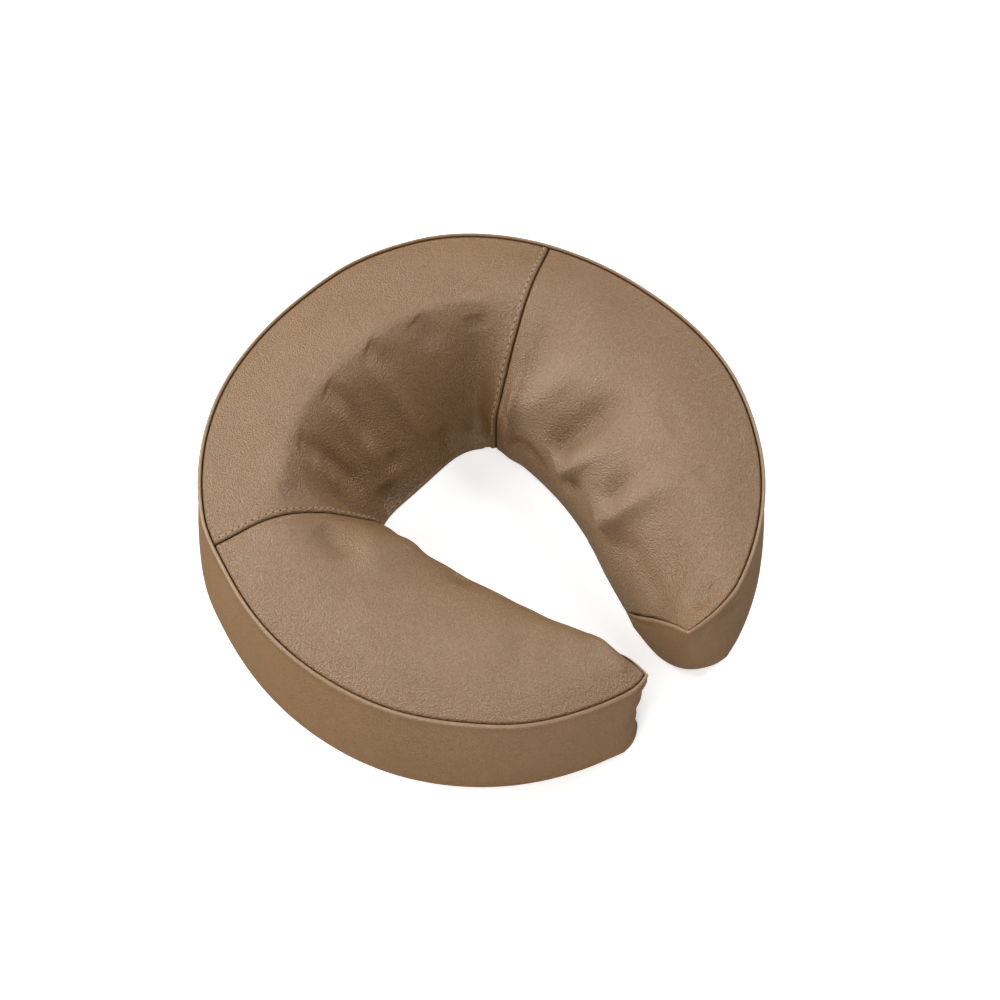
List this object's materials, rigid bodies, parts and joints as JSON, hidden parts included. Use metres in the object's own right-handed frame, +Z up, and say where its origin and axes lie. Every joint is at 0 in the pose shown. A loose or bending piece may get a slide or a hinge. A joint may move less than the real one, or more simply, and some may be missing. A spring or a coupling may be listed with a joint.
{
  "type": "face cradle cushion",
  "caption": "Padded crescent face cushion, open at the chin, with a scooped forehead, soft rolled inner edge, leather cover and a flat loop-pile base that rests on a face cradle.",
  "frame": {"origin": "under the middle of the bounding box, on the flat base that rests on the cradle", "axes": "+Z up out of the padding, +Y towards the forehead side, -Y through the chin gap, X from arm to arm"},
  "size_m": [0.3, 0.2966, 0.076],
  "materials": {
    "cover_top": "taupe grained faux leather, satin",
    "cover_band": "taupe grained faux leather, satin",
    "loop_fabric": "brushed loop pile",
    "firm_foam": "open-cell foam",
    "soft_foam": "open-cell memory foam",
    "topstitch_thread": "polyester thread",
    "seam_thread": "polyester thread"
  },
  "bodies": {
    "root": {"top_panel_centre": "cover_top", "top_panel_left": "cover_top", "top_panel_right": "cover_top", "outer_band": "cover_band", "base_panel": "loop_fabric", "support_foam": "firm_foam", "comfort_foam": "soft_foam", "topstitch_left": "topstitch_thread", "topstitch_right": "topstitch_thread", "perimeter_seam_thread": "seam_thread", "base_seam_thread": "seam_thread"}
  },
  "joints": []
}
